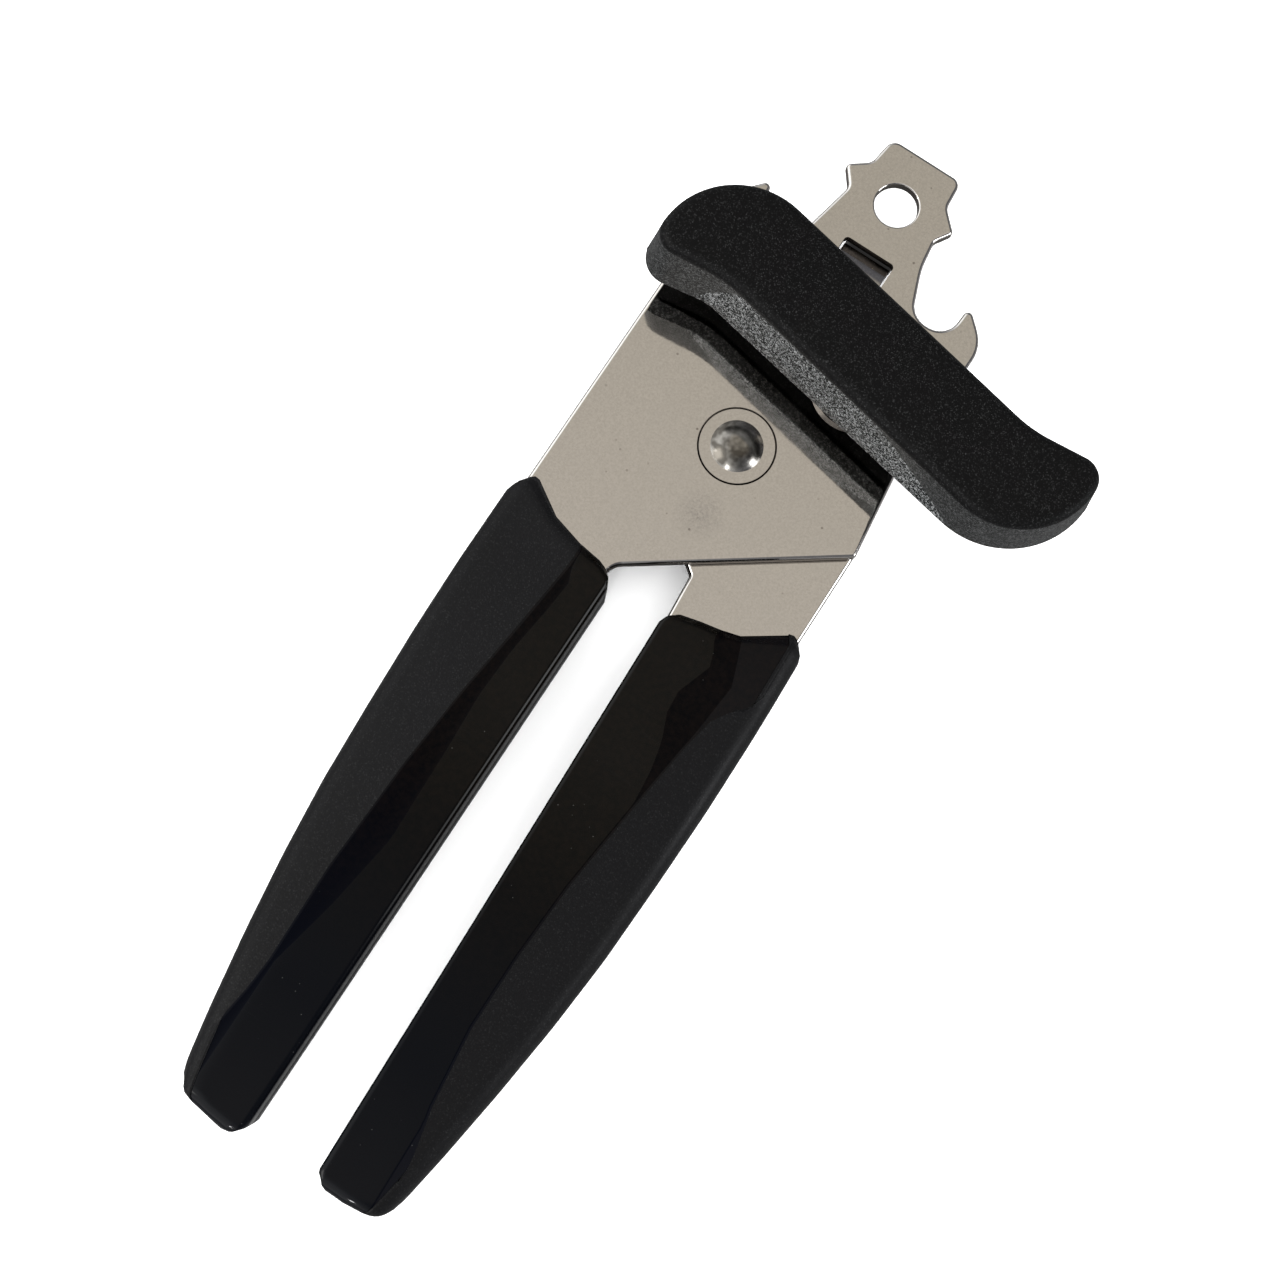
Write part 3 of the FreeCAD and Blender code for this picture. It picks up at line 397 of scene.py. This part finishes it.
def make_knob():
    points, normals = sample_outline(whole_turn(KNOB_TOP_HALF))
    base, _ = sample_outline(whole_turn(KNOB_BASE_HALF))
    count = len(points)
    columns = []
    for here, out in zip(points, normals):
        # The front wall is where the outline faces -Y; the back wall is its half turn.
        along = here[0] if out[1] < 0 else -here[0]
        first, second = flank_heights(along)
        lower, upper = flank_bulge(along)
        stops = [(first * f, lower * f) for f in (0, 0.33, 0.67)]
        stops += [(first + (second - first) * f, lower + (upper - lower) * f) for f in (0, 0.5)]
        stops += [(second + (WALL_HIGH - second) * f, upper * (1 - f)) for f in (0, 0.33, 0.67, 1)]
        column = [(1 - height / WALL_HIGH, bulge, KNOB_LOW + height) for height, bulge in stops]
        for angle in (18, 36, 54, 72, 90):
            lean = math.radians(angle)
            inward, down = KNOB_ROLL * (1 - math.cos(lean)), KNOB_ROLL * (1 - math.sin(lean))
            column.append((0, -inward, KNOB_HIGH - down))
        columns.append(column)
    rim = [(1, -RECESS_WALL, KNOB_LOW + RECESS_DEEP), (1, -RECESS_WALL, KNOB_LOW)]
    rim.append((1, -BASE_CHAMFER, KNOB_LOW))
    layers = [[step] * count for step in rim] + [list(layer) for layer in zip(*columns)]
    layers[WALL_ROW] = [(1, 0, KNOB_LOW + BASE_CHAMFER)] * count
    verts, faces = [], []
    for layer in layers:
        for i, (share, out_by, height) in enumerate(layer):
            spot = points[i] + (base[i] - points[i]) * share + normals[i] * out_by
            verts.append((spot[0], spot[1], height))
    for k in range(len(layers) - 1):
        for i in range(count):
            j = (i + 1) % count
            quad = (k * count + i, k * count + j, (k + 1) * count + j, (k + 1) * count + i)
            middle = (points[i] + points[j]) / 2
            along = middle[0] if normals[i][1] + normals[j][1] < 0 else -middle[0]
            stop = LOW_FLANK_STOP if k < LOW_FLANK_ROW else HIGH_FLANK_STOP
            on_flank = WALL_ROW <= k < HIGH_FLANK_ROW and FLANK_START < along < stop
            faces.append((quad, ON_FLANK if on_flank else ON_SIDE if k < TOP_ROW else ON_FACE))
    faces.append((tuple(range((len(layers) - 1) * count, len(layers) * count)), ON_FACE))
    faces.append((tuple(reversed(range(count))), ON_SIDE))
    sharp = []
    for i in range(count):
        j = (i + 1) % count
        along = points[i][0] if normals[i][1] < 0 else -points[i][0]
        for k, stop in ((LOW_FLANK_ROW, LOW_FLANK_STOP), (HIGH_FLANK_ROW, HIGH_FLANK_STOP)):
            if FLANK_START < along < stop and not SOFT_START < along < SOFT_STOP:
                sharp.append((k * count + i, k * count + j))
        sharp += [(count + i, count + j), (i, j)]
    place = Matrix.Translation(Vector((SHAFT.x + KNOB_SHIFT, SHAFT.y, 0)) * MM)
    piece = make_piece("knob", verts, faces, [KNOB_FACE, KNOB_SIDE, KNOB_FLANK], place, sharp)
    finish_piece(piece, "crank", "knob_plastic", "knob_shell")


# ---------------------------------------------------------------- grips
# Millimetres below the pivot and sideways from it. Both grips have the same outer edge, given as (distances
# below, distances sideways), and the same head end, given as (distances sideways, distances below).
GRIP_OUTER = ([24, 33, 45, 59, 74, 89, 103, 117, 130, 138.5, 145.2],
              [29.3, 29.5, 29.5, 29.1, 28.3, 27.3, 25.7, 23.6, 21.3, 19.6, 18.3])
GRIP_HEAD = ([4.8, 5.5, 6.8, 10.8, 14.2, 17.9, 22.1, 25.4, 27.4, 28.7, 29.5],
             [34.0, 32.4, 31.7, 31.2, 30.7, 29.9, 27.4, 25.0, 24.5, 25.2, 27.4])
# What differs: how much wider the outer edge is; the edges on the top, as (distances below, distances
# sideways), which are the inner edge, the fold beside it, both sides of the dark lens and the start of the
# grained flank; and the tail's end, as (distances sideways, distances below).
LEFT_BELOW = [35, 49.4, 63.1, 78.6, 100.3, 118.5, 124, 131, 138]
LEFT_EDGES = {
    "widen": 0.2,
    "inner": ([24, 146], [4.75, 4.85]),
    "fold": ([33, 60, 105, 143], [7.6, 8.0, 7.9, 7.2]),
    "lens": ([35, 38, 44, 53, 62.5, 73, 91, 105, 118],
             [11.9, 10.7, 11.2, 12.3, 12.7, 12.1, 11.5, 13.5, 16.2]),
    "far_lens": (LEFT_BELOW, [12.1, 13.5, 15.2, 16.5, 17.4, 16.9, 17.3, 18.2, 19.0]),
    "satin": (LEFT_BELOW, [12.5, 13.9, 15.5, 16.8, 17.6, 17.1, 17.5, 18.4, 19.2]),
    "tail": ([4.8, 5.6, 7.2, 13.0, 17.4, 18.4], [143.9, 145.0, 145.2, 144.6, 144.0, 142.4]),
}
RIGHT_EDGES = {
    "widen": -0.3,
    "inner": ([24, 100, 146], [4.75, 4.7, 4.5]),
    "fold": ([33, 56, 98, 143], [5.95, 6.0, 5.8, 5.9]),
    "lens": ([33, 37.5, 44, 48, 53, 58, 65, 80], [14.3, 16.4, 13.8, 14.0, 15.9, 16.8, 17.3, 15.0]),
    "far_lens": ([31, 40, 50, 57, 65, 80], [18.2, 21.2, 19.8, 18.6, 17.7, 15.2]),
    "satin": ([38, 42, 45, 51, 63, 72, 82, 96, 110, 124, 133, 143],
              [28.0, 25.6, 21.4, 19.8, 17.9, 16.6, 15.2, 14.1, 13.7, 14.9, 16.6, 17.4]),
    "tail": ([4.8, 5.6, 7.2, 13.0, 17.4, 18.4], [143.4, 144.4, 144.7, 144.6, 144.2, 142.8]),
}
HEAD_LIP, TAIL_ROLL = 1.3, 2.2
INNER_ROLL, OUTER_ROLL = 1.4, 3.2
GRIP_MID = (GRIP_LOW + GRIP_HIGH) / 2
HALF_THICK = (GRIP_HIGH - GRIP_LOW) / 2
# Where the grips begin and end below the pivot, and the lengths over which those ends bend to their outlines.
HEAD_START, TAIL_END = 31, 145.2
HEAD_BEND, TAIL_BEND = 24, 6
# The top is highest at CROWN_AT, and is CROWN_DROP lower at CROWN_REACH from there.
CROWN_AT, CROWN_REACH, CROWN_DROP = 85, 60, 0.6
# Slopes of the top's inner edge, the lens and the flank, and how far the lens lies below the top.
INNER_SLOPE, LENS_SLOPE, FLANK_SLOPE = 0.05, math.tan(math.radians(6.5)), math.tan(math.radians(15))
LENS_SUNK = 0.05
# Parts of the surface, each the number of its material: GLOSS, SATIN, LENS_SHADE_GLOSS and SOFT_GLOSS. The
# lens's darker gloss is painted shade.
TOP, FLANK, LENS, LENS_SIDE = range(4)
# The points of the section at the flank's edge, which is sharp from FLANK_EDGE_FROM below the pivot.
FLANK_EDGE, FLANK_EDGE_FROM = (15, 16), 42


def grip_section(below, edges):
    """Upper half of the section at a distance below the pivot: (sideways, height above the middle, part)."""
    inner = np.interp(below, *edges["inner"])
    outer = np.interp(below, *GRIP_OUTER) + edges["widen"]
    crown = HALF_THICK - CROWN_DROP * ((below - CROWN_AT) / CROWN_REACH) ** 2
    satin = min(np.interp(below, *edges["satin"]), outer - OUTER_ROLL * 0.75)
    far_lens = min(np.interp(below, *edges["far_lens"]), satin - 0.3)
    lens = min(np.interp(below, *edges["lens"]), far_lens - 0.15)
    fold = max(np.interp(below, *edges["fold"]), inner + 0.9)
    edge_height = crown - INNER_SLOPE * (fold - inner)
    roll = min(INNER_ROLL, (fold - inner) * 0.8)
    at_satin = crown - LENS_SUNK - (satin - lens) * LENS_SLOPE
    at_far = crown - LENS_SUNK - (far_lens - lens) * LENS_SLOPE
    line = [(inner + 0.15, 0.0, TOP), (inner, 0.3, TOP), (inner, crown * 0.5, TOP)]
    line += [(inner, edge_height - roll - 0.1, TOP)]
    for angle in (22, 45, 68, 86):
        a = math.radians(angle)
        line.append((inner + roll * (1 - math.cos(a)), edge_height - roll * (1 - math.sin(a)), TOP))
    line += [(fold - 0.08, crown - 0.03, TOP), (fold + 0.12, crown, TOP), ((fold + lens) / 2, crown, TOP)]
    line += [(lens - 0.05, crown, TOP), (lens + 0.05, crown - 0.04, LENS)]
    line += [(far_lens - 0.04, at_far, LENS), (far_lens + 0.06, at_far - 0.01, LENS_SIDE)]
    line += [(satin - 0.05, at_satin, LENS_SIDE), (satin + 0.1, at_satin - 0.03, FLANK)]
    last = outer - OUTER_ROLL
    height = at_satin - (last - satin) * FLANK_SLOPE
    line += [((satin + last) / 2, (at_satin + height) / 2, FLANK), (last, height, FLANK)]
    fall = min(OUTER_ROLL * 1.4, height - 0.9)
    for angle in (20, 38, 56, 74, 88):
        a = math.radians(angle)
        drop = fall * (0.9 * (1 - math.cos(a)) + 0.1 * math.sin(a))
        line.append((last + OUTER_ROLL * math.sin(a), height - drop, FLANK))
    line += [(outer, (height - fall) * 0.6, FLANK), (outer, 0.3, FLANK), (outer - 0.15, 0.0, FLANK)]
    return line


def grip_stations():
    """(distance below the pivot, inset of the section) from the head's lip to the tail's roll."""
    turns = [math.radians(a) for a in (0, 22, 45, 68)]
    lip = [(HEAD_START + HEAD_LIP * math.sin(t), HEAD_LIP * (1 - math.sin(t))) for t in turns]
    near_head = [HEAD_START + HEAD_LIP, 33.5, 35.5, 38, 40, 42]
    body = [(v, 0) for v in np.concatenate([near_head, np.arange(44, 142.5, 2.0)])]
    roll = [(TAIL_END - TAIL_ROLL * (1 - math.sin(t)), TAIL_ROLL * (1 - math.cos(t)))
            for t in [math.radians(a) for a in (0, 25, 50, 72, 88)]]
    return lip + body + roll


# The part that a face between two points belongs to.
PART_BETWEEN = {(TOP, TOP): TOP, (TOP, LENS): TOP, (LENS, LENS): LENS, (LENS, LENS_SIDE): LENS,
                (LENS_SIDE, LENS_SIDE): LENS_SIDE, (FLANK, LENS_SIDE): LENS_SIDE, (FLANK, FLANK): FLANK}


def make_grip(name, mirrored, edges):
    stations = grip_stations()
    verts, faces, sharp = [], [], []
    rows = []
    for below, inset in stations:
        section = grip_section(min(max(below, HEAD_START), TAIL_END), edges)
        inner, outer = section[1][0], section[-2][0]
        middle, half = (inner + outer) / 2, (outer - inner) / 2
        head = max(0.0, 1 - (below - HEAD_START) / HEAD_BEND) ** 1.5
        tail = max(0.0, 1 - (TAIL_END - below) / TAIL_BEND)
        upper = []
        for side, height, part in section:
            reach = middle + (side - middle) * (1 - inset / half)
            lift = height * (1 - inset / HALF_THICK)
            # A point on the middle plane stands a little inside the wall, but ends where the wall does.
            wall = inner if side < middle else outer
            at = side if height else wall
            down = below + head * (np.interp(at, *GRIP_HEAD) - HEAD_START)
            down += tail * (np.interp(at, *edges["tail"]) - TAIL_END)
            upper.append((reach, down, lift, part))
        rows.append(upper)
    columns = len(rows[0])
    for upper in rows:
        ring = [(s, d, h) for s, d, h, _ in upper] + [(s, d, -h) for s, d, h, _ in reversed(upper[1:-1])]
        verts += [(-s, -d, GRIP_MID + h) for s, d, h in ring]
    ring_size = 2 * columns - 2
    parts = [part for *_, part in rows[0]]
    parts += list(reversed(parts[1:-1]))
    for r in range(len(rows) - 1):
        for i in range(ring_size):
            j = (i + 1) % ring_size
            quad = (r * ring_size + i, r * ring_size + j, (r + 1) * ring_size + j, (r + 1) * ring_size + i)
            faces.append((quad, PART_BETWEEN[tuple(sorted((parts[i], parts[j])))]))
    for r, flip in ((0, True), (len(rows) - 1, False)):
        start = r * ring_size
        for k in range(columns - 1):
            top_a, top_b = start + k, start + k + 1
            low_a, low_b = start + (ring_size - k) % ring_size, start + ring_size - k - 1
            face = [top_a, top_b, low_b, low_a]
            face = [v for n, v in enumerate(face) if v not in face[:n]]
            faces.append((tuple(face if flip else reversed(face)), TOP))
    first_sharp = next(r for r, (below, _) in enumerate(stations) if below >= FLANK_EDGE_FROM)
    for r in range(first_sharp, len(rows) - 1):
        for k in FLANK_EDGE:
            for column in (k, ring_size - k):
                sharp.append((r * ring_size + column, (r + 1) * ring_size + column))
    place = Matrix.Translation(Vector((PIVOT.x, PIVOT.y, 0)) * MM)
    if mirrored:
        verts = [(-x, y, z) for x, y, z in verts]
        faces = [(tuple(reversed(face)), index) for face, index in faces]
        place = place @ Matrix.Rotation(math.radians(CLOSED_SKEW), 4, "Z")
    return make_piece(name, verts, faces, [GLOSS, SATIN, LENS_SHADE_GLOSS, SOFT_GLOSS], place, sharp)


make_knob()
finish_piece(make_grip("grip_left", False, LEFT_EDGES), "front_lever", "grip_plastic", "left_grip")
finish_piece(make_grip("grip_right", True, RIGHT_EDGES), "rear_lever", "grip_plastic", "right_grip")

# ---------------------------------------------------------------- floor, light, camera
floor_mesh = bpy.data.meshes.new("floor")
FLOOR_REACH = 6.0
corners = [(x * FLOOR_REACH, y * FLOOR_REACH, FLOOR) for x, y in ((-1, -1), (1, -1), (1, 1), (-1, 1))]
floor_mesh.from_pydata(corners, [], [(0, 1, 2, 3)])
floor = bpy.data.objects.new("floor", floor_mesh)
bpy.context.scene.collection.objects.link(floor)
pale = Nodes("pale_floor")
pale.shade(Base_Color=(0.96, 0.96, 0.96, 1), Roughness=0.9, Specular_IOR_Level=0.1)
# Glossy rays see the floor as dim grey: painted shade in the floor's reflections.
dim = pale.node("ShaderNodeBsdfDiffuse", {"Color": (0.12, 0.12, 0.12, 1)})
bounce = pale.node("ShaderNodeMixShader", {
    "Fac": pale.tree.nodes.new("ShaderNodeLightPath").outputs["Is Glossy Ray"]})
pale.put(bounce.inputs[1], pale.shader.outputs[0])
pale.put(bounce.inputs[2], dim.outputs[0])
pale.put(pale.out.inputs["Surface"], bounce.outputs[0])
floor_mesh.materials.append(pale.material)

VIEW_RIGHT = Vector((0.8373, 0.5438, 0.0569))
VIEW_UP = Vector((-0.5452, 0.8227, 0.161))
VIEW_BACK = Vector((0.0407, -0.1658, 0.9853))
CAMERA_SPOT = Vector((18.78, -150.59, 343.72)) * MM
camera = bpy.data.objects.new("camera", bpy.data.cameras.new("camera"))
camera.data.lens = 56.25
camera.data.sensor_width = 36
camera.data.clip_start = 0.01
facing = Matrix((VIEW_RIGHT, VIEW_UP, VIEW_BACK)).transposed().to_4x4()
camera.matrix_world = Matrix.Translation(CAMERA_SPOT) @ facing
bpy.context.scene.collection.objects.link(camera)
bpy.context.scene.camera = camera


def soft_light(name, spot, size, power, colour=(1, 1, 1)):
    """Square area light aimed at the object's middle; spot in metres."""
    data = bpy.data.lights.new(name, "AREA")
    data.size = size
    data.energy = power
    data.color = colour
    lamp = bpy.data.objects.new(name, data)
    aim = Vector((0, -0.09, 0)) - Vector(spot)
    lamp.location = spot
    lamp.rotation_euler = aim.to_track_quat("-Z", "Y").to_euler()
    bpy.context.scene.collection.objects.link(lamp)


# The key stands low on the left and towards the tails, the fill lower on the right, and the small glint
# light beyond the tails.
soft_light("key", (-0.55, -0.62, 0.42), 0.45, 2.6, (1.0, 0.98, 0.95))
soft_light("fill", (0.75, 0.02, 0.22), 0.40, 2.2, (0.97, 0.98, 1.0))
soft_light("glint", (0.12, -1.00, 0.42), 0.06, 1.2)


def make_world():
    """Even white, except for glossy rays.

    They see a warm ceiling, and below it a side that is pale at the key and dim opposite.
    """
    world = bpy.data.worlds.new("studio")
    bpy.context.scene.world = world
    world.use_nodes = True
    tree = world.node_tree
    tree.nodes.clear()
    link = tree.links.new

    def add(kind, **settings):
        made = tree.nodes.new(kind)
        for key, value in settings.items():
            setattr(made, key, value)
        return made

    way = add("ShaderNodeTexCoord").outputs["Generated"]

    def toward(direction, low, high, to_low, to_high):
        dot = add("ShaderNodeVectorMath", operation="DOT_PRODUCT")
        link(way, dot.inputs[0])
        dot.inputs[1].default_value = Vector(direction).normalized()
        span = add("ShaderNodeMapRange", interpolation_type="SMOOTHSTEP")
        link(dot.outputs["Value"], span.inputs["Value"])
        for key, value in (("From Min", low), ("From Max", high), ("To Min", to_low), ("To Max", to_high)):
            span.inputs[key].default_value = value
        return span.outputs[0]

    def blend(factor, a, b):
        made = add("ShaderNodeMix", data_type="RGBA")
        link(factor, made.inputs["Factor"])
        for key, value in (("A", a), ("B", b)):
            socket = [s for s in made.inputs if s.name == key and s.type == "RGBA"][0]
            if isinstance(value, bpy.types.NodeSocket):
                link(value, socket)
            else:
                socket.default_value = (*value, 1)
        return [s for s in made.outputs if s.type == "RGBA"][0]

    sides = blend(toward((-0.84, -0.54, 0.0), -0.3, 0.75, 0, 1), (0.10, 0.10, 0.11), (1.5, 1.5, 1.5))
    overhead = blend(toward((0.0, 1.0, 0.0), 0.12, 0.45, 0, 1), (0.540, 0.500, 0.447), (0.455, 0.420, 0.362))
    ceiling = blend(toward((0.0, 0.20, 0.98), 0.72, 0.90, 0, 1), sides, overhead)
    reflected = add("ShaderNodeBackground")
    link(ceiling, reflected.inputs["Color"])
    even = add("ShaderNodeBackground")
    even.inputs["Color"].default_value = (1.0, 1.0, 1.0, 1)
    even.inputs["Strength"].default_value = 3.0
    rays = add("ShaderNodeLightPath")
    pick = add("ShaderNodeMixShader")
    link(rays.outputs["Is Glossy Ray"], pick.inputs[0])
    link(even.outputs[0], pick.inputs[1])
    link(reflected.outputs[0], pick.inputs[2])
    link(pick.outputs[0], add("ShaderNodeOutputWorld").inputs["Surface"])


make_world()
bpy.context.scene.view_settings.view_transform = "Standard"
